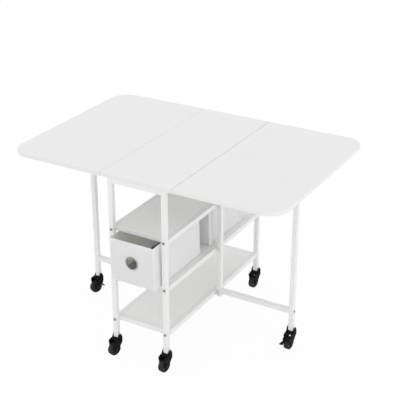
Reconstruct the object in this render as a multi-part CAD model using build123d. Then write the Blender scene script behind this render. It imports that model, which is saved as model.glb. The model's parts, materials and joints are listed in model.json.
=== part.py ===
from build123d import *
import math
import os

# Rolling drop-leaf table: a narrow cart of square steel tube with three shelves and two fabric bins,
# a fixed centre panel, two drop leaves on hinges, and two swing gates that carry the leaves.
# Millimetres, +Z up, +X towards the right leaf, -Y towards the end with the pulled-out bin.

# Tabletop
TOP_LENGTH = 1195.0
TOP_WIDTH = 800.0
TOP_HEIGHT = 806.0
BOARD = 16.0
CENTRE_PANEL = 316.0
SEAM = 1.0
CORNER_RADIUS = 80.0
TOP_EDGE_ROUND = 1.5
PANEL_EDGE_ROUND = 0.4
TOP_OVERHANG = 3.0

# Cart frame of square tube
TUBE = 20.0
TUBE_WALL = 1.5
TUBE_ROUND = 2.0
CART_WIDTH_X = 258.0
LEG_FOOT = 84.0
END_BLOCK = 10.0

# Shelves: height of each shelf's top face above the floor
SHELF_TOP = {"upper": 581.5, "middle": 377.0, "bottom": 175.0}
SHELF_BOARD = 15.0
SHELF_CLEARANCE = 0.2
SHELF_EDGE = 0.3
TAB_THICK = 2.5
TAB_REACH = 14.0
TAB_WIDTH = 26.0
TAB_SPACING = 260.0

# Swing gates
GATE_REACH = 486.0
GATE_OFFSET = 10.0
GATE_BAR_DROP = 8.0
GATE_BAR_LOW = 160.5
GATE_POST_FOOT = 148.0
GATE_GAP = 0.3
CAP = 2.7
CAP_INSERT = 12.0
CAP_CLEARANCE = 0.1

# Gate hinges: small butt hinges at the three shelf heights
GATE_HINGE_STANDOFF = 3.0
GATE_KNUCKLE = 2.8
GATE_HINGE_TALL = 18.0
GATE_HINGE_LEAF = 1.4
GATE_RAIL_PLATE = 13.0
GATE_POST_PLATE = 13.0

# Leaf hinges: butt hinges under each seam
LEAF_HINGE_Y = [-270.0, -110.0, 110.0, 270.0]
LEAF_HINGE_WIDE = 36.0
LEAF_HINGE_LEAF = 1.5
LEAF_HINGE_REACH = 24.0
LEAF_KNUCKLE = 3.0
PIN_RADIUS = 1.2
PIN_CLEARANCE = 0.06
KNUCKLE_GAP = 0.2

# Casters
WHEEL_RADIUS = 27.0
WHEEL_WIDTH = 22.0
WHEEL_SHOULDER = 4.0
WHEEL_RECESS = 2.5
HUB_RADIUS = 9.0
TRAIL = 17.0
AXLE_RADIUS = 3.0
STEM_RADIUS = 4.0
STEM_RISE = 22.0
RUNNING_CLEARANCE = 0.06
PRESS_CLEARANCE = 0.02
HOOD_RADIUS = 21.0
HOOD_FOOT_RADIUS = 15.0
HOOD_UNDER = 64.5
HOOD_RIM = 70.0
HOOD_SHOULDER = 74.0
CUP_RADIUS = 15.0
CUP_GAP = 0.5
FLANGE = 2.0
AXLE_HEAD = 1.2

# Side plates of each caster's fork: a cheek beside the wheel, and an ear beside the leg
CHEEK_GAP = 0.8
CHEEK = 3.4
EAR = 3.0
FORK_BACK = 13.5
FORK_SKIRT = 52.0
EAR_SHOULDER = 80.0
EAR_PEAK = 6.0
EAR_TOP = 96.5
EAR_CREST_TRAIL = 2.0
EAR_CREST = 93.0
EAR_STEP_TRAIL = 6.5
EAR_STEP = 85.5
BROW_TRAIL = 12.0
BROW_TOP = 74.0
BROW_END_TRAIL = 26.0
BROW_END = 69.5
FORK_NOSE = 31.0
NOSE_TOP = 64.0
NOSE_FOOT = 47.0
LOBE = 9.0
LOBE_FOOT = 5.0
FORK_KNEE_AHEAD = 1.0
FORK_KNEE = 35.0
FORK_CORNER = 2.5
EAR_START = 55.0
EAR_BEVEL = 2.4

# Brake pedals
PEDAL_THICK = 3.0
PEDAL_WIDTH = 14.0
PEDAL_BARREL = 3.2
PEDAL_STUB = 1.8
PEDAL_SIDE_GAP = 0.3
PEDAL_LUG = 5.5

# Fabric bins
BIN_LENGTH = 350.0
BIN_TOP_WIDTH = 208.0
BIN_FOOT_WIDTH = 200.0
BIN_HEIGHT = 181.5
BIN_WALL = 3.0
BIN_CORNER = 5.0
BIN_FLOAT = 0.3
BIN_PULLED = 40.0
BACK_BIN_INSET = 58.0
BASE_BOARD = 3.0
BASE_BOARD_GAP = 0.5
GROMMET_HEIGHT = 95.0
GROMMET_HOLE = 23.0
GROMMET_TUBE = 1.2
GROMMET_FLANGE = 26.6
GROMMET_BACK_FLANGE = 25.6
GROMMET_LIP = 1.5
GROMMET_CLEARANCE = 0.1

# Bolts and screws
BOLT_RADIUS = 3.0
BOLT_HEAD = 5.5
BOLT_HEAD_TALL = 3.2
BOLT_LENGTH = 28.0
SOCKET = 1.9
BOLT_CLEARANCE = 0.1
SCREW_RADIUS = 2.0
SCREW_HEAD = 4.2
SCREW_HEAD_TALL = 2.4
SCREW_BITE = 11.0
TOP_SCREW_Y = [-250.0, 0.0, 250.0]

# Worked out from the sizes above
UNDERSIDE = TOP_HEIGHT - BOARD
CART_LENGTH_Y = TOP_WIDTH - 2 * TOP_OVERHANG
HALF_X = CART_WIDTH_X / 2
HALF_Y = CART_LENGTH_Y / 2
LEG_X = HALF_X - TUBE / 2
LEG_Y = HALF_Y - TUBE / 2
INNER_X = HALF_X - TUBE
INNER_Y = HALF_Y - TUBE
BORE = TUBE - 2 * TUBE_WALL
GATE_POST_X = HALF_X + GATE_GAP + TUBE / 2
GATE_LEG_X = GATE_REACH - TUBE / 2
GATE_TOP = UNDERSIDE - GATE_GAP
GATE_AXIS_X = HALF_X + GATE_HINGE_STANDOFF
GATE_AXIS_Y = GATE_OFFSET - TUBE / 2 - GATE_HINGE_STANDOFF
LEAF_AXIS_X = CENTRE_PANEL / 2 + SEAM / 2
LEAF_AXIS_Z = UNDERSIDE - LEAF_KNUCKLE
LEAF_INNER = CENTRE_PANEL / 2 + SEAM
CUP_FLOOR = LEG_FOOT - FLANGE - CUP_GAP
CHEEK_IN = WHEEL_WIDTH / 2 + CHEEK_GAP
CHEEK_OUT = CHEEK_IN + CHEEK
BIN_FOOT = SHELF_TOP["middle"] + BIN_FLOAT
FRONT_BIN_Y = -HALF_Y - BIN_PULLED + BIN_LENGTH / 2
BACK_BIN_Y = HALF_Y - BACK_BIN_INSET - BIN_LENGTH / 2
FRONT_REACH = max(HALF_Y + BIN_PULLED + GROMMET_LIP, LEG_Y + TRAIL + WHEEL_RADIUS)
BACK_REACH = LEG_Y + HOOD_RADIUS
ORIGIN_SHIFT = (FRONT_REACH - BACK_REACH) / 2

# Swivel heading of each caster at rest, in degrees about +Z from trailing towards -Y,
# and where its leg stands: the two with a pedal are under the gates.
CASTERS = {
    "front_left": (-LEG_X, -LEG_Y, -15.0),
    "front_right": (LEG_X, -LEG_Y, -9.0),
    "back_left": (-LEG_X, LEG_Y, 75.0),
    "back_right": (LEG_X, LEG_Y, -7.0),
    "gate_left": (-GATE_LEG_X, -GATE_OFFSET, -21.0),
    "gate_right": (GATE_LEG_X, GATE_OFFSET, -4.0),
}

SIDES = {"right": 0.0, "left": 180.0}


def block(x0, x1, y0, y1, z0, z1):
    return Pos((x0 + x1) / 2, (y0 + y1) / 2, (z0 + z1) / 2) * Box(x1 - x0, y1 - y0, z1 - z0)


def rod(radius, length):
    """Cylinder from the origin up +Z."""
    return extrude(Circle(radius), length)


def tube_run(length):
    """Square tube from the origin up +Z, open at both ends."""
    outer = RectangleRounded(TUBE, TUBE, TUBE_ROUND)
    inner = RectangleRounded(BORE, BORE, TUBE_ROUND / 2)
    return extrude(outer - inner, length)


def end_block(depth):
    """Threaded block welded inside a tube's end, from the origin up +Z."""
    return extrude(RectangleRounded(BORE, BORE, TUBE_ROUND / 2), depth) - rod(
        BOLT_RADIUS + BOLT_CLEARANCE, depth
    )


def along_x(shape, x, y, z):
    return Pos(x, y, z) * Rot(0, 90, 0) * shape


def along_y(shape, x, y, z):
    return Pos(x, y, z) * Rot(-90, 0, 0) * shape


def side_plate(outline, thickness):
    """Plate whose outline is drawn as (Y, Z), from X = 0 towards +X."""
    return extrude(Plane.YZ * outline, thickness, dir=(1, 0, 0))


def write(node, *solids):
    """Write one node with the cart moved so that the part's box is centred on the origin."""
    shapes = []
    for item in solids:
        shapes.extend(item if isinstance(item, list) else [item])
    moved = [Pos(0, ORIGIN_SHIFT, 0) * s for s in shapes]
    shape = moved[0] if len(moved) == 1 else Compound(children=moved)
    export_step(shape, f"parts/{node}.step")


def cart_leg(x, y):
    leg = Pos(x, y, LEG_FOOT) * tube_run(UNDERSIDE - LEG_FOOT)
    for top in SHELF_TOP.values():
        hole = rod(BOLT_RADIUS + BOLT_CLEARANCE, TUBE + 2)
        leg -= along_y(hole, x, y - TUBE / 2 - 1, top - TUBE / 2)
    return leg


def side_rail(x, z, threaded):
    """Tube between a front and a back leg."""
    rail = along_y(tube_run(2 * INNER_Y), x, -INNER_Y, z)
    if threaded:
        rail += along_y(end_block(END_BLOCK), x, -INNER_Y, z)
        rail += along_y(end_block(END_BLOCK), x, INNER_Y - END_BLOCK, z)
    return rail


def cross_rail(y, z):
    return along_x(tube_run(2 * INNER_X), -INNER_X, y, z)


def top_frame():
    z = UNDERSIDE - TUBE / 2
    sides = [side_rail(x, z, False) for x in (-LEG_X, LEG_X)]
    drill = rod(SCREW_RADIUS + BOLT_CLEARANCE, TUBE + 2)
    for i, x in enumerate((-LEG_X, LEG_X)):
        for y in TOP_SCREW_Y:
            sides[i] -= Pos(x, y, UNDERSIDE - TUBE - 1) * drill
    return sides + [cross_rail(y, z) for y in (-LEG_Y, LEG_Y)]


def shelf_frame(top):
    """Two side rails with board tabs, and a cross rail at each end just inside the legs."""
    z = top - TUBE / 2
    tab_z = top - SHELF_BOARD - SHELF_CLEARANCE - TAB_THICK
    solids = []
    for side in (-1, 1):
        rail = side_rail(side * LEG_X, z, True)
        for y in (-TAB_SPACING, 0, TAB_SPACING):
            edges = sorted((side * (INNER_X - TAB_REACH), side * (INNER_X + TUBE_WALL / 2)))
            rail += block(
                edges[0], edges[1], y - TAB_WIDTH / 2, y + TAB_WIDTH / 2, tab_z, tab_z + TAB_THICK
            )
        solids.append(rail)
    for side in (-1, 1):
        solids.append(cross_rail(side * (INNER_Y - TUBE / 2), z))
    return solids


def shelf_board(top):
    half_x = INNER_X - SHELF_CLEARANCE
    half_y = INNER_Y - TUBE - SHELF_CLEARANCE
    board = block(-half_x, half_x, -half_y, half_y, top - SHELF_BOARD, top)
    return chamfer(board.edges().group_by(Axis.Z)[-1], SHELF_EDGE)


def centre_panel():
    half = CENTRE_PANEL / 2
    panel = block(-half, half, -TOP_WIDTH / 2, TOP_WIDTH / 2, UNDERSIDE, TOP_HEIGHT)
    panel = fillet(panel.faces().sort_by(Axis.Z)[-1].edges(), PANEL_EDGE_ROUND)
    drill = rod(SCREW_RADIUS, SCREW_BITE)
    for x in (-LEG_X, LEG_X):
        for y in TOP_SCREW_Y:
            panel -= Pos(x, y, UNDERSIDE) * drill
    return panel


def right_leaf():
    """Board with two large rounded outer corners and softened top edges."""
    outer = TOP_LENGTH / 2
    middle = (LEAF_INNER + outer) / 2
    sketch = Pos(middle, 0) * Rectangle(outer - LEAF_INNER, TOP_WIDTH)
    sketch = fillet(sketch.vertices().group_by(Axis.X)[-1], CORNER_RADIUS)
    leaf = Pos(0, 0, UNDERSIDE) * extrude(sketch, BOARD)
    return fillet(leaf.faces().sort_by(Axis.Z)[-1].edges(), TOP_EDGE_ROUND)


def hinge_segments(wide, gap, outer_pair):
    """Spans of a knuckle of the given width: the outer two, or the one between them."""
    third = wide / 3
    if outer_pair:
        return [(-wide / 2, -third / 2 - gap), (third / 2 + gap, wide / 2)]
    return [(-third / 2, third / 2)]


def leaf_hinge_plate(y, direction, outer_pair):
    """Hinge leaf under a seam of the right leaf. direction is +1 on the leaf, -1 on the panel."""
    reach = LEAF_AXIS_X + direction * LEAF_HINGE_REACH
    x0, x1 = sorted((LEAF_AXIS_X, reach))
    z1 = UNDERSIDE
    half = LEAF_HINGE_WIDE / 2
    away = LEAF_AXIS_X + direction * (LEAF_KNUCKLE + KNUCKLE_GAP)
    a0, a1 = sorted((away, reach))
    shape = block(a0, a1, y - half, y + half, z1 - LEAF_HINGE_LEAF, z1)
    for low, high in hinge_segments(LEAF_HINGE_WIDE, KNUCKLE_GAP, outer_pair):
        shape += along_y(rod(LEAF_KNUCKLE, high - low), LEAF_AXIS_X, y + low, LEAF_AXIS_Z)
        shape += block(x0, x1, y + low, y + high, z1 - LEAF_HINGE_LEAF, z1)
    bore = rod(PIN_RADIUS + PIN_CLEARANCE, LEAF_HINGE_WIDE + 2)
    return shape - along_y(bore, LEAF_AXIS_X, y - half - 1, LEAF_AXIS_Z)


def leaf_hinge_pin(y):
    pin = rod(PIN_RADIUS, LEAF_HINGE_WIDE)
    return along_y(pin, LEAF_AXIS_X, y - LEAF_HINGE_WIDE / 2, LEAF_AXIS_Z)


def gate_hinge_plate(z, on_rail):
    """Hinge leaf at the corner where the right gate's post meets a shelf's side rail."""
    half = GATE_HINGE_TALL / 2
    ax, ay = GATE_AXIS_X, GATE_AXIS_Y
    face_y = GATE_OFFSET - TUBE / 2
    if on_rail:
        far = ay - GATE_RAIL_PLATE
        near = ay - GATE_KNUCKLE - KNUCKLE_GAP
        plate = (HALF_X, HALF_X + GATE_HINGE_LEAF, far, near)
        link = (HALF_X, HALF_X + GATE_HINGE_LEAF, far, ay)
    else:
        far = ax + GATE_POST_PLATE
        near = ax + GATE_KNUCKLE + KNUCKLE_GAP
        plate = (near, far, face_y - GATE_HINGE_LEAF, face_y)
        link = (ax, far, face_y - GATE_HINGE_LEAF, face_y)
    shape = block(*plate, z - half, z + half)
    for low, high in hinge_segments(GATE_HINGE_TALL, KNUCKLE_GAP, on_rail):
        shape += Pos(ax, ay, z + low) * rod(GATE_KNUCKLE, high - low)
        shape += block(*link, z + low, z + high)
    return shape - Pos(ax, ay, z - half - 1) * rod(PIN_RADIUS + PIN_CLEARANCE, 2 * half + 2)


def gate_hinge_pin(z):
    start = z - GATE_HINGE_TALL / 2
    return Pos(GATE_AXIS_X, GATE_AXIS_Y, start) * rod(PIN_RADIUS, GATE_HINGE_TALL)


def gate_post():
    post = Pos(GATE_POST_X, GATE_OFFSET, GATE_POST_FOOT) * tube_run(
        GATE_TOP - CAP - GATE_POST_FOOT
    )
    return post


def gate_leg():
    leg = Pos(GATE_LEG_X, GATE_OFFSET, LEG_FOOT) * tube_run(GATE_TOP - CAP - LEG_FOOT)
    for z in gate_bar_heights():
        hole = rod(BOLT_RADIUS + BOLT_CLEARANCE, TUBE + 2)
        leg -= along_x(hole, GATE_LEG_X - TUBE / 2 - 1, GATE_OFFSET, z)
    return leg


def gate_bar_heights():
    return (GATE_BAR_LOW + TUBE / 2, UNDERSIDE - GATE_BAR_DROP - TUBE / 2)


def gate_bars():
    start = GATE_POST_X + TUBE / 2
    length = GATE_LEG_X - TUBE / 2 - start
    bars = []
    for z in gate_bar_heights():
        bar = along_x(tube_run(length), start, GATE_OFFSET, z)
        bars.append(bar + along_x(end_block(END_BLOCK), start + length - END_BLOCK, GATE_OFFSET, z))
    return bars


def end_cap(x, y, z):
    """Plastic cap with an insert, its top face at z."""
    lid = extrude(RectangleRounded(TUBE, TUBE, TUBE_ROUND), CAP)
    lid = fillet(lid.faces().sort_by(Axis.Z)[-1].edges(), CAP / 3)
    side = BORE - 2 * CAP_CLEARANCE
    insert = Pos(0, 0, -CAP_INSERT) * extrude(
        RectangleRounded(side, side, TUBE_ROUND / 2 - CAP_CLEARANCE), CAP_INSERT
    )
    return Pos(x, y, z - CAP) * (lid + insert)


def foot_plug(x, y):
    """Plug in a leg's foot with the bore in which the caster's stem turns."""
    side = BORE - 2 * CAP_CLEARANCE
    plug = extrude(RectangleRounded(TUBE, TUBE, TUBE_ROUND), FLANGE)
    plug += Pos(0, 0, FLANGE) * extrude(
        RectangleRounded(side, side, TUBE_ROUND / 2 - CAP_CLEARANCE), STEM_RISE - 4
    )
    plug -= Pos(0, 0, -1) * rod(STEM_RADIUS + RUNNING_CLEARANCE, STEM_RISE + 2)
    return Pos(x, y, LEG_FOOT - FLANGE) * plug


def gate_caps():
    top = [end_cap(x, GATE_OFFSET, GATE_TOP) for x in (GATE_POST_X, GATE_LEG_X)]
    low = Pos(GATE_POST_X, GATE_OFFSET, GATE_POST_FOOT - CAP) * Rot(180, 0, 0) * end_cap(0, 0, 0)
    return top + [low, foot_plug(GATE_LEG_X, GATE_OFFSET)]


def bolt(length):
    """Button-head bolt with a hex socket: the head's seat is at the origin, the shank goes up +Z."""
    head = Pos(0, 0, -BOLT_HEAD_TALL) * rod(BOLT_HEAD, BOLT_HEAD_TALL)
    head = fillet(head.edges().group_by(Axis.Z)[0], BOLT_HEAD_TALL * 0.6)
    head -= Pos(0, 0, -BOLT_HEAD_TALL) * extrude(RegularPolygon(SOCKET, 6), BOLT_HEAD_TALL * 0.6)
    return head + rod(BOLT_RADIUS, length)


def leg_bolts():
    solids = []
    for x in (-LEG_X, LEG_X):
        for top in SHELF_TOP.values():
            solids.append(along_y(bolt(BOLT_LENGTH), x, -HALF_Y, top - TUBE / 2))
            solids.append(Pos(x, HALF_Y, top - TUBE / 2) * Rot(90, 0, 0) * bolt(BOLT_LENGTH))
    return solids


def gate_bolts():
    head_seat = GATE_REACH
    return [Pos(head_seat, GATE_OFFSET, z) * Rot(0, -90, 0) * bolt(BOLT_LENGTH) for z in gate_bar_heights()]


def top_screws():
    solids = []
    seat = UNDERSIDE - TUBE
    for x in (-LEG_X, LEG_X):
        for y in TOP_SCREW_Y:
            head = Pos(x, y, seat - SCREW_HEAD_TALL) * rod(SCREW_HEAD, SCREW_HEAD_TALL)
            head = fillet(head.edges().group_by(Axis.Z)[0], SCREW_HEAD_TALL / 2)
            solids.append(head + Pos(x, y, seat) * rod(SCREW_RADIUS, TUBE + SCREW_BITE - 1))
    return solids


def caster_wheel():
    """Wheel about the local X axis, with rounded shoulders and a recessed web on each face."""
    half = WHEEL_WIDTH / 2
    rim = WHEEL_RADIUS - 5
    outline = Polyline(
        (AXLE_RADIUS + RUNNING_CLEARANCE, -half),
        (HUB_RADIUS, -half),
        (HUB_RADIUS + 1, -half + WHEEL_RECESS),
        (rim - 1, -half + WHEEL_RECESS),
        (rim, -half),
        (WHEEL_RADIUS, -half),
        (WHEEL_RADIUS, half),
        (rim, half),
        (rim - 1, half - WHEEL_RECESS),
        (HUB_RADIUS + 1, half - WHEEL_RECESS),
        (HUB_RADIUS, half),
        (AXLE_RADIUS + RUNNING_CLEARANCE, half),
        close=True,
    )
    face = make_face(Plane.XZ * outline)
    shoulders = [v for v in face.vertices() if v.X > WHEEL_RADIUS - 0.1]
    face = fillet(shoulders, WHEEL_SHOULDER)
    wheel = revolve(face, Axis.Z)
    return Pos(0, -TRAIL, WHEEL_RADIUS) * Rot(0, 90, 0) * wheel


def fork_side_outline():
    """Side view of a fork's side: an ear beside the leg, a nose over the wheel, a lobe at the axle."""
    points = [
        (FORK_BACK, FORK_SKIRT),
        (FORK_BACK, EAR_SHOULDER),
        (EAR_PEAK, EAR_TOP),
        (-EAR_CREST_TRAIL, EAR_CREST),
        (-EAR_STEP_TRAIL, EAR_STEP),
        (-BROW_TRAIL, BROW_TOP),
        (-BROW_END_TRAIL, BROW_END),
        (-FORK_NOSE, NOSE_TOP),
        (-FORK_NOSE, NOSE_FOOT),
        (-TRAIL - LOBE, WHEEL_RADIUS),
        (-TRAIL - LOBE_FOOT, WHEEL_RADIUS - LOBE),
        (-TRAIL + LOBE_FOOT, WHEEL_RADIUS - LOBE),
        (-TRAIL + LOBE, WHEEL_RADIUS),
        (FORK_KNEE_AHEAD, FORK_KNEE),
    ]
    sketch = Polygon(*points, align=None)
    return fillet(sketch.vertices(), FORK_CORNER)


def fork_cheek():
    """Inner plate from the hood down to the axle, its inner face at X = 0."""
    tall = HOOD_SHOULDER
    below = Pos(-FORK_NOSE / 2, tall / 2) * Rectangle(3 * FORK_NOSE, tall)
    return side_plate(fork_side_outline() & below, CHEEK)


def fork_ear():
    """Outer plate from beside the wheel's top up beside the leg, its inner face at X = 0."""
    above = Pos(-FORK_NOSE / 2, EAR_START + EAR_TOP / 2) * Rectangle(3 * FORK_NOSE, EAR_TOP)
    ear = side_plate(fork_side_outline() & above, EAR)
    low = ear.edges().group_by(Axis.Z)[0].filter_by(Axis.Y).sort_by(Axis.X)[-1]
    return chamfer(low, EAR_BEVEL)


def caster_fork(pedal):
    """Hood under the leg, with a cheek and an ear on each side, trailing towards -Y."""
    hood = Polyline(
        (0, HOOD_UNDER), (HOOD_FOOT_RADIUS, HOOD_UNDER), (HOOD_RADIUS, HOOD_RIM),
        (HOOD_RADIUS, HOOD_SHOULDER), (CUP_RADIUS + EAR, CUP_FLOOR), (0, CUP_FLOOR), close=True,
    )
    fork = revolve(make_face(Plane.XZ * hood), Axis.Z)
    cheek = fork_cheek()
    ear = fork_ear()
    if pedal:
        cheek += side_plate(pedal_lug(*PEDAL_PATHS[pedal][0]), CHEEK)
    fork += Pos(CHEEK_IN, 0, 0) * cheek
    fork += Pos(-CHEEK_OUT, 0, 0) * cheek
    fork += Pos(CUP_RADIUS, 0, 0) * ear
    fork += Pos(-CUP_RADIUS, 0, 0) * mirror(ear, about=Plane.YZ)
    fork -= Pos(0, 0, HOOD_UNDER - 1) * rod(STEM_RADIUS + PRESS_CLEARANCE, CUP_FLOOR - HOOD_UNDER + 2)
    bore = rod(AXLE_RADIUS + PRESS_CLEARANCE, 2 * CHEEK_OUT + 2)
    fork -= along_x(bore, -CHEEK_OUT - 1, -TRAIL, WHEEL_RADIUS)
    if pedal:
        y, z = PEDAL_PATHS[pedal][0]
        hole = rod(PEDAL_STUB + RUNNING_CLEARANCE, 2 * CHEEK_OUT - 2 + 2 * PEDAL_SIDE_GAP)
        fork -= along_x(hole, -CHEEK_OUT + 1 - PEDAL_SIDE_GAP, y, z)
    return fork


def pedal_lug(y, z):
    """Side view of the lug that carries a pedal's pivot, from the cheek's middle out to it."""
    middle = Pos(-FORK_NOSE / 3, HOOD_UNDER - PEDAL_LUG / 2) * Circle(PEDAL_LUG)
    return make_hull((middle + Pos(y, z) * Circle(PEDAL_LUG)).edges())


def caster_pins():
    """Stem that turns in the leg's plug, and the wheel's axle with a small head at each end."""
    stem = Pos(0, 0, HOOD_UNDER) * rod(STEM_RADIUS, LEG_FOOT + STEM_RISE - HOOD_UNDER)
    reach = CHEEK_OUT + AXLE_HEAD
    axle = along_x(rod(AXLE_RADIUS, 2 * reach), -reach, -TRAIL, WHEEL_RADIUS)
    for x in (-reach, CHEEK_OUT):
        axle += along_x(rod(AXLE_RADIUS + 1.5, AXLE_HEAD), x, -TRAIL, WHEEL_RADIUS)
    return [stem, axle]


# Side view of each brake pedal's lever, from its pivot to its tip: (towards +Y, height)
PEDAL_PATHS = {
    "gate_right": [(-38.0, 51.0), (-52.0, 53.0), (-70.0, 54.5), (-86.0, 55.0)],
    "gate_left": [(9.0, 50.0), (14.0, 42.0), (14.5, 30.0), (18.0, 23.0), (27.0, 20.0)],
}


def brake_pedal(name):
    """Lever on a barrel between the cheeks, with a stub into each cheek."""
    path = PEDAL_PATHS[name]
    y, z = path[0]
    half = CHEEK_IN - PEDAL_SIDE_GAP
    lever = trace(Polyline(*path), PEDAL_THICK)
    width = min(PEDAL_WIDTH / 2, half)
    pedal = Pos(-width, 0, 0) * side_plate(lever, 2 * width)
    pedal += along_x(rod(PEDAL_BARREL, 2 * half), -half, y, z)
    pedal += along_x(rod(PEDAL_STUB, 2 * CHEEK_OUT - 2), -CHEEK_OUT + 1, y, z)
    return pedal


def bin_prism(foot_width, top_width, length, low, high, corner):
    """Box that widens upwards across X, with rounded upright corners."""
    foot = Pos(0, 0, low) * RectangleRounded(foot_width, length, corner)
    top = Pos(0, 0, high) * RectangleRounded(top_width, length, corner)
    return loft([foot, top])


def bin_shell():
    """Open-topped bin, its end with the finger hole towards -Y, its foot at height 0."""
    slope = (BIN_TOP_WIDTH - BIN_FOOT_WIDTH) / BIN_HEIGHT
    shell = bin_prism(BIN_FOOT_WIDTH, BIN_TOP_WIDTH, BIN_LENGTH, 0, BIN_HEIGHT, BIN_CORNER)
    low_width = BIN_FOOT_WIDTH + slope * BIN_WALL - 2 * BIN_WALL
    high_width = BIN_TOP_WIDTH + slope - 2 * BIN_WALL
    shell -= bin_prism(
        low_width, high_width, BIN_LENGTH - 2 * BIN_WALL, BIN_WALL, BIN_HEIGHT + 1, BIN_CORNER - BIN_WALL
    )
    hole = rod(GROMMET_HOLE + GROMMET_TUBE + GROMMET_CLEARANCE, BIN_WALL + 2)
    return shell - along_y(hole, 0, -BIN_LENGTH / 2 - 1, GROMMET_HEIGHT)


def bin_base():
    side = BIN_FOOT_WIDTH - 2 * BIN_WALL - 2 * BASE_BOARD_GAP
    length = BIN_LENGTH - 2 * BIN_WALL - 2 * BASE_BOARD_GAP
    return Pos(0, 0, BIN_WALL) * extrude(RectangleRounded(side, length, BIN_CORNER - BIN_WALL), BASE_BOARD)


def grommet():
    """Two-part metal eyelet set as one ring, with a flange on each face of the bin's end wall."""
    lip = GROMMET_LIP
    profile = Polyline(
        (GROMMET_HOLE, -lip / 2), (GROMMET_HOLE + lip / 2, -lip), (GROMMET_FLANGE - lip / 2, -lip),
        (GROMMET_FLANGE, -lip / 2), (GROMMET_FLANGE, 0), (GROMMET_HOLE + GROMMET_TUBE, 0),
        (GROMMET_HOLE + GROMMET_TUBE, BIN_WALL), (GROMMET_BACK_FLANGE, BIN_WALL),
        (GROMMET_BACK_FLANGE, BIN_WALL + lip / 2), (GROMMET_HOLE, BIN_WALL + lip / 2), close=True,
    )
    ring = revolve(make_face(Plane.XZ * profile), Axis.Z)
    return along_y(ring, 0, -BIN_LENGTH / 2, GROMMET_HEIGHT)


def write_cart():
    for name, (x, y) in {
        "front_left": (-LEG_X, -LEG_Y), "front_right": (LEG_X, -LEG_Y),
        "back_left": (-LEG_X, LEG_Y), "back_right": (LEG_X, LEG_Y),
    }.items():
        write(f"leg_{name}", cart_leg(x, y))
    write("leg_end_plugs", [foot_plug(x, y) for x in (-LEG_X, LEG_X) for y in (-LEG_Y, LEG_Y)])
    write("top_frame", top_frame())
    for level, top in SHELF_TOP.items():
        write(f"{level}_shelf_frame", shelf_frame(top))
        write(f"{level}_shelf_board", shelf_board(top))
    write("centre_panel", centre_panel())
    write("top_screws", top_screws())
    write("leg_bolts", leg_bolts())


def write_leaves():
    leaf = right_leaf()
    write("right_leaf", leaf)
    write("left_leaf", Rot(0, 0, 180) * leaf)
    fixed = [leaf_hinge_plate(y, -1, True) for y in LEAF_HINGE_Y]
    moving = [leaf_hinge_plate(y, 1, False) for y in LEAF_HINGE_Y]
    pins = [leaf_hinge_pin(y) for y in LEAF_HINGE_Y]
    write("centre_hinge_plates", fixed + [Rot(0, 0, 180) * s for s in fixed])
    write("right_leaf_hinge_plates", moving)
    write("left_leaf_hinge_plates", [Rot(0, 0, 180) * s for s in moving])
    gate_pins = [gate_hinge_pin(top - TUBE / 2) for top in SHELF_TOP.values()]
    write("hinge_pins", [Rot(0, 0, a) * s for a in SIDES.values() for s in pins + gate_pins])


def write_gates():
    heights = [top - TUBE / 2 for top in SHELF_TOP.values()]
    fixed = [gate_hinge_plate(z, True) for z in heights]
    write("gate_rail_hinge_plates", [Rot(0, 0, a) * s for a in SIDES.values() for s in fixed])
    pieces = {
        "gate_post": [gate_post()],
        "gate_leg": [gate_leg()],
        "gate_bars": gate_bars(),
        "gate_hinge_plates": [gate_hinge_plate(z, False) for z in heights],
        "gate_caps": gate_caps(),
        "gate_bolts": gate_bolts(),
    }
    for side, angle in SIDES.items():
        for name, solids in pieces.items():
            write(f"{side}_{name}", [Rot(0, 0, angle) * s for s in solids])


def write_casters():
    wheel = caster_wheel()
    pins = caster_pins()
    for name, (x, y, heading) in CASTERS.items():
        place = Pos(x, y, 0) * Rot(0, 0, heading)
        pedal = name if name in PEDAL_PATHS else None
        write(f"caster_{name}_fork", place * caster_fork(pedal))
        write(f"caster_{name}_wheel", place * wheel)
        write(f"caster_{name}_pins", [place * s for s in pins])
        if pedal:
            write(f"caster_{name}_pedal", place * brake_pedal(name))


def write_bins():
    pieces = {"bin": bin_shell(), "bin_base": bin_base(), "bin_grommet": grommet()}
    places = {
        "front": Pos(0, FRONT_BIN_Y, BIN_FOOT),
        "back": Pos(0, BACK_BIN_Y, BIN_FOOT) * Rot(0, 0, 180),
    }
    for end, place in places.items():
        for name, solid in pieces.items():
            write(f"{end}_{name}", place * solid)


os.makedirs("parts", exist_ok=True)
write_cart()
write_leaves()
write_gates()
write_casters()
write_bins()
print("origin shift", ORIGIN_SHIFT, "seam lift", math.degrees(math.asin(SEAM / (BOARD + LEAF_KNUCKLE))))
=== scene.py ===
import json
import math

import bmesh
import bpy
from mathutils import Matrix, Vector, noise


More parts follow.
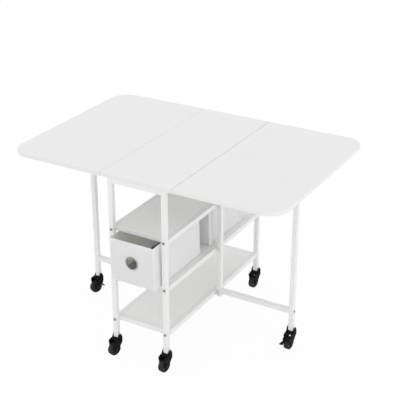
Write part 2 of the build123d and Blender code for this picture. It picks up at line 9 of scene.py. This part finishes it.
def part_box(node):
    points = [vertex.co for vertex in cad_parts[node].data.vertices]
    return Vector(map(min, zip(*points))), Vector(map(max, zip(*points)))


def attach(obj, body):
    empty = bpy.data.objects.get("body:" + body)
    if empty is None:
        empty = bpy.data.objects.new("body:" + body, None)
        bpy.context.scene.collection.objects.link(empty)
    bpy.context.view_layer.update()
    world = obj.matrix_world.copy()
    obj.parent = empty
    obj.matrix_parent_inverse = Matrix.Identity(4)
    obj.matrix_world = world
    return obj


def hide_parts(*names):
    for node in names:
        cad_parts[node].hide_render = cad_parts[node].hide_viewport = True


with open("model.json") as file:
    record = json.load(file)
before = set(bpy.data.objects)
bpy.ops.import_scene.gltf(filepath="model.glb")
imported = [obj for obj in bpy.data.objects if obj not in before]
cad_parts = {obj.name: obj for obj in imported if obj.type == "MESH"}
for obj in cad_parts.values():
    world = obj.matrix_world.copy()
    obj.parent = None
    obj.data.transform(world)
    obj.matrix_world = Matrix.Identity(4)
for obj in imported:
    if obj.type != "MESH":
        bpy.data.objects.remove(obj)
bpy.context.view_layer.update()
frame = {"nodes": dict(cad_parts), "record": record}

MM = 0.001
# How far the tabletop's middle stands behind the part's origin.
SHIFT = 15.25 * MM


# Camera, light and floor

LENS = 91.07
CAMERA_PLACE = (1.9218, -3.2464 + SHIFT, 2.3414)
CAMERA_TILT = 64.76
CAMERA_HEADING = 29.99
ROOM_STRENGTH = 0.99
FLOOR_SIZE = 14.0
FLOOR_GAP = 0.4 * MM
FLOOR_GLOW_SHARE = 0.93
# Name, place, target, diameter in metres and power in watts.
LAMPS = [
    ("key_lamp", (-2.2, -3.4, 3.6), (0.0, 0.0, 0.4), 2.6, 6.0),
    ("side_lamp", (3.8, -1.2, 0.75), (0.0, 0.0, 0.42), 1.4, 13.0),
]


def place_camera():
    lens = bpy.data.cameras.new("table_camera")
    lens.sensor_width = 36.0
    lens.lens = LENS
    lens.clip_end = 60.0
    camera = bpy.data.objects.new("table_camera", lens)
    camera.location = CAMERA_PLACE
    camera.rotation_euler = (math.radians(CAMERA_TILT), 0.0, math.radians(CAMERA_HEADING))
    bpy.context.scene.collection.objects.link(camera)
    bpy.context.scene.camera = camera


def any_of(tree, first, second):
    node = tree.nodes.new("ShaderNodeMath")
    node.operation = "MAXIMUM"
    tree.links.new(first, node.inputs[0])
    tree.links.new(second, node.inputs[1])
    return node.outputs[0]


def light_room():
    world = bpy.data.worlds.new("white_room")
    bpy.context.scene.world = world
    world.use_nodes = True
    tree = world.node_tree
    tree.nodes.clear()
    path = tree.nodes.new("ShaderNodeLightPath")
    seen = any_of(tree, path.outputs["Is Camera Ray"], path.outputs["Is Transmission Ray"])
    seen = any_of(tree, seen, path.outputs["Is Glossy Ray"])
    room = tree.nodes.new("ShaderNodeBackground")
    room.inputs["Color"].default_value = (1.0, 1.0, 1.0, 1.0)
    room.inputs["Strength"].default_value = ROOM_STRENGTH
    backdrop = tree.nodes.new("ShaderNodeBackground")
    backdrop.inputs["Color"].default_value = (1.0, 1.0, 1.0, 1.0)
    backdrop.inputs["Strength"].default_value = 1.0
    mix = tree.nodes.new("ShaderNodeMixShader")
    out = tree.nodes.new("ShaderNodeOutputWorld")
    tree.links.new(seen, mix.inputs["Fac"])
    tree.links.new(room.outputs[0], mix.inputs[1])
    tree.links.new(backdrop.outputs[0], mix.inputs[2])
    tree.links.new(mix.outputs[0], out.inputs["Surface"])


def soft_lamp(name, place, target, size, power):
    lamp = bpy.data.lights.new(name, "AREA")
    lamp.shape = "DISK"
    lamp.size = size
    lamp.energy = power
    obj = bpy.data.objects.new(name, lamp)
    obj.location = place
    aim = Vector(target) - Vector(place)
    obj.rotation_euler = aim.to_track_quat("-Z", "Y").to_euler()
    bpy.context.scene.collection.objects.link(obj)


def lay_floor():
    mesh = bpy.data.meshes.new("studio_floor")
    bm = bmesh.new()
    bmesh.ops.create_grid(bm, x_segments=1, y_segments=1, size=FLOOR_SIZE)
    bm.to_mesh(mesh)
    bm.free()
    floor = bpy.data.objects.new("studio_floor", mesh)
    bpy.context.scene.collection.objects.link(floor)
    floor.location = (0.0, 0.0, -FLOOR_GAP)
    paper = bpy.data.materials.new("studio_paper")
    paper.use_nodes = True
    tree = paper.node_tree
    tree.nodes.clear()
    matt = tree.nodes.new("ShaderNodeBsdfDiffuse")
    matt.inputs["Color"].default_value = (0.96, 0.96, 0.96, 1.0)
    glow = tree.nodes.new("ShaderNodeEmission")
    glow.inputs["Color"].default_value = (1.0, 1.0, 1.0, 1.0)
    glow.inputs["Strength"].default_value = 1.0
    path = tree.nodes.new("ShaderNodeLightPath")
    seen = any_of(tree, path.outputs["Is Camera Ray"], path.outputs["Is Transmission Ray"])
    share = tree.nodes.new("ShaderNodeMath")
    share.operation = "MULTIPLY"
    share.inputs[1].default_value = FLOOR_GLOW_SHARE
    tree.links.new(seen, share.inputs[0])
    mix = tree.nodes.new("ShaderNodeMixShader")
    out = tree.nodes.new("ShaderNodeOutputMaterial")
    tree.links.new(share.outputs[0], mix.inputs["Fac"])
    tree.links.new(matt.outputs[0], mix.inputs[1])
    tree.links.new(glow.outputs[0], mix.inputs[2])
    tree.links.new(mix.outputs[0], out.inputs["Surface"])
    mesh.materials.append(paper)


# Finishes

class Finish:
    """One surface finish: a Principled shader with patterns in the piece's own coordinates."""

    def __init__(self, name, colour, roughness, metal=0.0, specular=0.5):
        self.material = bpy.data.materials.new(name)
        self.material.use_nodes = True
        self.tree = self.material.node_tree
        self.shader = self.tree.nodes["Principled BSDF"]
        self.shader.inputs["Base Color"].default_value = (*colour, 1.0)
        self.shader.inputs["Roughness"].default_value = roughness
        self.shader.inputs["Metallic"].default_value = metal
        self.shader.inputs["Specular IOR Level"].default_value = specular
        self.colour = colour
        self.roughness = roughness
        self.place = self.tree.nodes.new("ShaderNodeTexCoord").outputs["Object"]

    def link(self, start, end):
        self.tree.links.new(start, end)

    def speckle(self, scale, detail):
        node = self.tree.nodes.new("ShaderNodeTexNoise")
        node.inputs["Scale"].default_value = scale
        node.inputs["Detail"].default_value = detail
        self.link(self.place, node.inputs["Vector"])
        return node.outputs["Fac"]

    def spread(self, value, low, high, start=0.3, end=0.7):
        node = self.tree.nodes.new("ShaderNodeMapRange")
        node.inputs["From Min"].default_value = start
        node.inputs["From Max"].default_value = end
        node.inputs["To Min"].default_value = low
        node.inputs["To Max"].default_value = high
        self.link(value, node.inputs["Value"])
        return node.outputs["Result"]

    def maths(self, kind, first, second):
        node = self.tree.nodes.new("ShaderNodeMath")
        node.operation = kind
        for socket, value in zip(node.inputs, (first, second)):
            if isinstance(value, (int, float)):
                socket.default_value = value
            else:
                self.link(value, socket)
        return node.outputs[0]

    def part_of(self, axis):
        node = self.tree.nodes.new("ShaderNodeSeparateXYZ")
        self.link(self.place, node.inputs[0])
        return node.outputs[axis]

    def facing(self, axis):
        """How far the surface faces along an axis, from 0 to 1."""
        where = self.tree.nodes.new("ShaderNodeNewGeometry")
        split = self.tree.nodes.new("ShaderNodeSeparateXYZ")
        self.link(where.outputs["Normal"], split.inputs[0])
        return self.maths("ABSOLUTE", split.outputs[axis], 0.0)

    def tint(self, share, other):
        node = self.tree.nodes.new("ShaderNodeMix")
        node.data_type = "RGBA"
        node.inputs["A"].default_value = (*self.colour, 1.0)
        node.inputs["B"].default_value = (*other, 1.0)
        base = self.shader.inputs["Base Color"]
        if base.is_linked:
            self.link(base.links[0].from_socket, node.inputs["A"])
        self.link(share, node.inputs["Factor"])
        self.link(node.outputs["Result"], base)

    def rough(self, value, spread):
        low, high = self.roughness - spread, self.roughness + spread
        self.link(self.spread(value, low, high), self.shader.inputs["Roughness"])

    def relief(self, height, strength, depth):
        node = self.tree.nodes.new("ShaderNodeBump")
        node.inputs["Strength"].default_value = strength
        node.inputs["Distance"].default_value = depth
        normal = self.shader.inputs["Normal"]
        if normal.is_linked:
            self.link(normal.links[0].from_socket, node.inputs["Normal"])
        self.link(height, node.inputs["Height"])
        self.link(node.outputs["Normal"], normal)


def powder_coat():
    coat = Finish("white_powder_coat", (0.825, 0.825, 0.82), 0.42, specular=0.4)
    peel = coat.speckle(520.0, 1.0)
    coat.relief(peel, 0.12, 0.0003)
    coat.rough(coat.speckle(60.0, 3.0), 0.06)
    coat.tint(coat.spread(coat.speckle(7.0, 4.0), 0.0, 0.35), (0.785, 0.785, 0.775))
    return coat.material


def white_laminate(name, colour, edge_shade_colour):
    board = Finish(name, colour, 0.36, specular=0.4)
    board.relief(board.speckle(900.0, 2.0), 0.10, 0.0002)
    board.rough(board.speckle(11.0, 4.0), 0.05)
    board.tint(board.spread(board.speckle(2.4, 5.0), 0.0, 0.25), tuple(c * 0.965 for c in colour))
    # Painted shade: the board's upright edge faces get a darker colour than its top and underside,
    # standing in for the shade that falls on them.
    edge = board.spread(board.facing(2), 1.0, 0.0, 0.2, 0.8)
    board.tint(edge, edge_shade_colour)
    return board.material


def caster_plastic():
    plastic = Finish("black_moulded_plastic", (0.003, 0.003, 0.0032), 0.5, specular=0.08)
    plastic.relief(plastic.speckle(1500.0, 1.0), 0.25, 0.0002)
    plastic.rough(plastic.speckle(90.0, 3.0), 0.10)
    plastic.tint(plastic.spread(plastic.speckle(45.0, 4.0), 0.0, 0.5), (0.008, 0.008, 0.0085))
    return plastic.material


def wheel_plastic():
    tread = Finish("black_wheel_plastic", (0.017, 0.017, 0.0175), 0.5, specular=0.18)
    tread.relief(tread.speckle(800.0, 2.0), 0.18, 0.0002)
    tread.rough(tread.speckle(120.0, 3.0), 0.12)
    tread.tint(tread.spread(tread.speckle(70.0, 5.0), 0.0, 0.6), (0.030, 0.030, 0.031))
    return tread.material


def zinc_steel(name, colour, roughness):
    steel = Finish(name, colour, roughness, metal=1.0)
    steel.relief(steel.speckle(700.0, 2.0), 0.1, 0.0001)
    steel.rough(steel.speckle(220.0, 3.0), 0.12)
    steel.tint(steel.spread(steel.speckle(130.0, 4.0), 0.0, 0.5), tuple(c * 0.7 for c in colour))
    return steel.material


def weave(name, colour, dark, period, depth, thin=0.0):
    """Plain weave: threads along the height crossed with threads round the walls."""
    cloth = Finish(name, colour, 0.85, specular=0.25)
    cloth.shader.inputs["Sheen Weight"].default_value = 0.15
    cloth.shader.inputs["Sheen Roughness"].default_value = 0.5
    cloth.shader.inputs["Subsurface Weight"].default_value = thin
    cloth.shader.inputs["Subsurface Radius"].default_value = (1.0, 0.98, 0.9)
    cloth.shader.inputs["Subsurface Scale"].default_value = 0.011
    step = 2.0 * math.pi / period
    wander = cloth.spread(cloth.speckle(60.0, 2.0), -0.5, 0.5)
    across = cloth.maths("ADD", cloth.part_of(0), cloth.part_of(1))
    warp = cloth.maths("SINE", cloth.maths("ADD", cloth.maths("MULTIPLY", across, step), wander), 0.0)
    upwards = cloth.maths("MULTIPLY", cloth.part_of(2), step)
    weft = cloth.maths("SINE", cloth.maths("ADD", upwards, wander), 0.0)
    threads = cloth.maths("MULTIPLY", warp, weft)
    cloth.relief(threads, 0.5, depth)
    cloth.relief(cloth.speckle(28.0, 4.0), 0.25, 0.0012)
    # Painted shade: the cloth is darkened where the weave's relief is low, standing in for the shade in
    # the hollows between the threads.
    cloth.tint(cloth.spread(threads, 0.25, 0.0, -1.0, 1.0), dark)
    # Random darker tone in patches across the cloth, using the same darker colour.
    cloth.tint(cloth.spread(cloth.speckle(16.0, 4.0), 0.0, 0.3), dark)
    return cloth.material


def white_plastic():
    cap = Finish("white_plastic", (0.82, 0.82, 0.81), 0.4)
    cap.relief(cap.speckle(900.0, 1.0), 0.12, 0.0002)
    cap.rough(cap.speckle(80.0, 3.0), 0.08)
    cap.tint(cap.spread(cap.speckle(40.0, 3.0), 0.0, 0.4), (0.78, 0.78, 0.76))
    return cap.material


def hinge_paint():
    paint = Finish("painted_hinge_steel", (0.74, 0.74, 0.73), 0.45, specular=0.45)
    paint.relief(paint.speckle(640.0, 2.0), 0.14, 0.0002)
    paint.rough(paint.speckle(110.0, 3.0), 0.1)
    paint.tint(paint.spread(paint.speckle(60.0, 4.0), 0.0, 0.6), (0.6, 0.6, 0.59))
    return paint.material


FINISHES = {
    # The second colour of each laminate is painted shade for the board's upright edge faces.
    "top_laminate": white_laminate(
        "white_top_laminate", (0.81, 0.81, 0.805), (0.785, 0.785, 0.775)
    ),
    "shelf_laminate": white_laminate(
        "white_shelf_laminate", (0.86, 0.86, 0.85), (0.84, 0.84, 0.83)
    ),
    "white_tube": powder_coat(),
    "white_plastic": white_plastic(),
    "caster_plastic": caster_plastic(),
    "wheel_plastic": wheel_plastic(),
    "plain_steel": zinc_steel("plain_zinc_steel", (0.55, 0.55, 0.55), 0.35),
    "black_steel": zinc_steel("black_oxide_steel", (0.06, 0.06, 0.06), 0.4),
    "dark_steel": zinc_steel("dark_zinc_steel", (0.36, 0.36, 0.36), 0.4),
    "hinge_steel": hinge_paint(),
    "grommet_metal": zinc_steel("bright_grommet_metal", (0.42, 0.41, 0.38), 0.3),
    "bin_fabric": weave("white_bin_cloth", (0.92, 0.92, 0.91), (0.81, 0.81, 0.80), 0.0011, 0.0002, 0.7),
    "thread": weave("white_thread", (0.80, 0.80, 0.79), (0.70, 0.70, 0.69), 0.0006, 0.0001),
    # Painted shade: the bin's lining is the same white cloth as the outside, given a darker, warmer grey
    # to stand in for the shade inside the bin.
    "fibre_board": weave("white_lining_painted_shade", (0.85, 0.85, 0.81), (0.76, 0.76, 0.72), 0.0012, 0.0002, 0.7),
}


def dress_nodes():
    for entry in frame["record"]["subparts"]:
        node = frame["nodes"][entry["node"]]
        finish = FINISHES[entry["material_slot"]]
        if not node.data.materials:
            node.data.materials.append(finish)
        for index in range(len(node.data.materials)):
            node.data.materials[index] = finish


# Shaping helpers

def keep_piece(name, bm, body, slot, *finishes):
    """Turns a finished bmesh into a piece that rides on a body."""
    mesh = bpy.data.meshes.new(name)
    bm.to_mesh(mesh)
    bm.free()
    for finish in finishes:
        mesh.materials.append(finish)
    mesh.shade_smooth()
    piece = bpy.data.objects.new(name, mesh)
    bpy.context.scene.collection.objects.link(piece)
    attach(piece, body)
    return piece


def apply_modifiers(piece):
    """Leaves the piece with its modifiers' result as its mesh."""
    graph = bpy.context.evaluated_depsgraph_get()
    done = bpy.data.meshes.new_from_object(piece.evaluated_get(graph))
    piece.modifiers.clear()
    piece.data = done


def slice_along(bm, axis, places):
    """Cuts the whole mesh square to an axis at each place along it."""
    normal = Vector((0.0, 0.0, 0.0))
    normal[axis] = 1.0
    for place in places:
        geometry = bm.verts[:] + bm.edges[:] + bm.faces[:]
        bmesh.ops.bisect_plane(bm, geom=geometry, plane_co=normal * place, plane_no=normal, dist=1e-6)


def even_steps(low, high, step):
    count = max(1, round((high - low) / step))
    return [low + (high - low) * i / count for i in range(1, count)]


# Fabric bins

HEM = 22.0 * MM
HEM_FOLD = 0.25 * MM
HOLE = 24.6 * MM
HOLE_REACH = 3.0 * MM
HOLE_FLAT = 40.0 * MM
RIPPLE = 0.9 * MM
FINE_RIPPLE = 0.25 * MM
END_CLEARANCE = 1.6 * MM
CORNER = 4.5 * MM
CELL = 9.0 * MM
CELL_TALL = 8.0 * MM
BOW = 2.6 * MM
CLOTH_WALL = 2.2 * MM
STITCH_LINE = 4.0 * MM
STITCH_PITCH = 4.2 * MM
STITCH_INSET = 0.9 * MM
STITCH_START = 10.0 * MM
STITCH_RADIUS = 0.35 * MM
STITCH_LONG = 2.8 * MM
EYELET_STEPS = 72
CLOTH_FOOT = 203.0 * MM
CLOTH_TOP = 200.0 * MM
LEAN = 3.2 * MM


def bow_of_wall(low, high, point):
    """How far a bin's wall has sunk inwards at a point, most in the middle of its top edge."""
    along = (point.y - low.y) / (high.y - low.y) * 2.0 - 1.0
    up = (point.z - low.z) / (high.z - low.z)
    return max(0.0, 1.0 - along * along) * up ** 1.5


def leaning(low, high, point):
    """Sideways shift of a point on a bin's wall, which narrows upwards and leans to the left."""
    up = (point.z - low.z) / (high.z - low.z)
    narrow = point.x * (CLOTH_TOP / CLOTH_FOOT - 1.0) * up
    return Vector((narrow - LEAN * up, 0.0, 0.0))


def bin_cloth(name, node, body, front):
    """Open bin of stiffened cloth with a folded hem, bowed walls and a cut hole in one end."""
    low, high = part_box(node)
    middle = (low + high) / 2
    size = high - low
    bm = bmesh.new()
    bmesh.ops.create_cube(bm, size=1.0)
    bmesh.ops.scale(bm, verts=bm.verts, vec=(CLOTH_FOOT, size.y - END_CLEARANCE, size.z))
    bmesh.ops.translate(bm, verts=bm.verts, vec=middle)
    lid = [f for f in bm.faces if f.normal.z > 0.9]
    bmesh.ops.delete(bm, geom=lid, context="FACES_ONLY")
    corners = [e for e in bm.edges if not e.is_boundary]
    bmesh.ops.bevel(
        bm, geom=corners, offset=CORNER, segments=3, profile=0.5, affect="EDGES", material=-1
    )
    hem_line = high.z - HEM
    slice_along(bm, 0, even_steps(low.x, high.x, CELL))
    slice_along(bm, 1, even_steps(low.y, high.y, CELL))
    slice_along(bm, 2, even_steps(low.z, hem_line, CELL_TALL))
    above_fold = [hem_line + rise * MM for rise in (0.0, 0.5, 2.5)]
    slice_along(bm, 2, above_fold + [high.z - drop * MM for drop in (5.0, 1.0)])
    eyelet_low, eyelet_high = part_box(node + "_grommet")
    hole = Vector((0.0, (low if front < 0 else high).y, eyelet_low.z / 2 + eyelet_high.z / 2))

    def near_hole(point):
        across = math.hypot(point.x, point.z - hole.z)
        return abs(point.y - hole.y) < HOLE_REACH and across < HOLE

    inside = [f for f in bm.faces if any(near_hole(v.co) for v in f.verts)]
    bmesh.ops.delete(bm, geom=inside, context="FACES")
    for vert in bm.verts:
        at_wall = abs(vert.co.y - hole.y) < HOLE_REACH
        if vert.is_boundary and vert.co.z < hem_line and at_wall:
            arm = Vector((vert.co.x, 0.0, vert.co.z - hole.z))
            arm = arm.normalized() * HOLE
            vert.co.x, vert.co.z = arm.x, hole.z + arm.z
    bm.normal_update()
    moves = {}
    for vert in bm.verts:
        point = vert.co
        sink = bow_of_wall(low, high, point) * BOW
        ripple = noise.noise(point * 17.0) * RIPPLE + noise.noise(point * 45.0) * FINE_RIPPLE
        end_wall = abs(vert.normal.y) > 0.7
        away = math.hypot(point.x, point.z - hole.z) / HOLE_FLAT - 0.6
        flat = min(1.0, max(0.0, away)) if end_wall else 1.0
        step = HEM_FOLD if point.z > hem_line + 0.2 * MM else 0.0
        inwards = (0.0 if end_wall else sink) + (abs(ripple) * flat) - step
        side = Vector((vert.normal.x, vert.normal.y, 0.0))
        moves[vert] = -side * inwards + leaning(low, high, point)
    for vert, move in moves.items():
        vert.co += move
    cloth = keep_piece(
        name, bm, body, "bin_fabric", FINISHES["bin_fabric"], FINISHES["fibre_board"]
    )
    wall = cloth.modifiers.new("wall", "SOLIDIFY")
    wall.thickness = CLOTH_WALL
    wall.offset = -1.0
    # The inner faces take the lining finish, whose darker warm grey is painted shade.
    wall.material_offset = 1
    wall.use_rim = True
    apply_modifiers(cloth)
    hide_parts(node)


def hem_stitches(name, node, body):
    """Row of short thread stitches round a bin, just above its hem's lower edge."""
    low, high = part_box(node)
    line = high.z - HEM + STITCH_LINE
    bm = bmesh.new()
    runs = []
    half_x = CLOTH_FOOT / 2 - 0.1 * MM
    along_side = even_steps(low.y + STITCH_START, high.y - STITCH_START, STITCH_PITCH)
    along_end = even_steps(low.x + STITCH_START, high.x - STITCH_START, STITCH_PITCH)
    for sign in (-1, 1):
        runs += [(Vector((sign * half_x, y, line)), 1) for y in along_side]
    for y in (low.y + STITCH_INSET, high.y - STITCH_INSET):
        runs += [(Vector((x, y, line)), 0) for x in along_end]
    for place, axis in runs:
        if axis == 1:
            place.x -= math.copysign(bow_of_wall(low, high, place) * BOW, place.x)
        place += leaning(low, high, place)
        turn = Matrix.Rotation(math.radians(90.0), 4, "Y" if axis == 0 else "X")
        bmesh.ops.create_cone(
            bm, cap_ends=True, segments=6, depth=STITCH_LONG,
            radius1=STITCH_RADIUS, radius2=STITCH_RADIUS,
            matrix=Matrix.Translation(place) @ turn,
        )
    keep_piece(name, bm, body, "bin_fabric", FINISHES["thread"])


def grommet_ring(name, node, body, front):
    """Rolled metal eyelet: a rounded flange outside, a tube through the wall and a washer inside."""
    low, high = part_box(node)
    centre = (low + high) / 2
    outer = low.y if front < 0 else high.y
    out = -front
    # Radius and depth behind the outer face, in mm.
    profile = [
        (23.0, 4.6), (23.0, 1.1), (23.2, 0.6), (23.7, 0.2), (24.5, 0.0), (25.4, 0.1), (26.2, 0.5),
        (26.6, 1.1), (26.2, 1.5), (24.4, 1.5), (24.2, 4.2), (25.2, 4.4), (25.6, 4.8), (25.2, 5.2),
        (23.6, 5.2),
    ]
    bm = bmesh.new()
    ring = [bm.verts.new((r * MM, outer + out * d * MM, 0.0)) for r, d in profile]
    loop = [bm.edges.new((ring[i], ring[(i + 1) % len(ring)])) for i in range(len(ring))]
    bmesh.ops.spin(
        bm, geom=ring + loop, cent=(0.0, 0.0, 0.0), axis=(0.0, 1.0, 0.0),
        angle=math.tau, steps=EYELET_STEPS, use_merge=True,
    )
    bmesh.ops.remove_doubles(bm, verts=bm.verts, dist=1e-6)
    place = Vector((centre.x, 0.0, centre.z))
    bin_low, bin_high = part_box(node.replace("_grommet", ""))
    bmesh.ops.translate(bm, verts=bm.verts, vec=place + leaning(bin_low, bin_high, place))
    bmesh.ops.recalc_face_normals(bm, faces=bm.faces)
    eyelet = keep_piece(name, bm, body, "grommet_metal", FINISHES["grommet_metal"])
    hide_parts(node)


bpy.context.scene.view_settings.view_transform = "Standard"
place_camera()
light_room()
for lamp in LAMPS:
    soft_lamp(*lamp)
lay_floor()
dress_nodes()

for end, front in (("front", -1), ("back", 1)):
    bin_cloth(end + "_bin_cloth", end + "_bin", end + "_basket", front)
    hem_stitches(end + "_bin_stitches", end + "_bin", end + "_basket")
    grommet_ring(end + "_bin_eyelet", end + "_bin_grommet", end + "_basket", front)
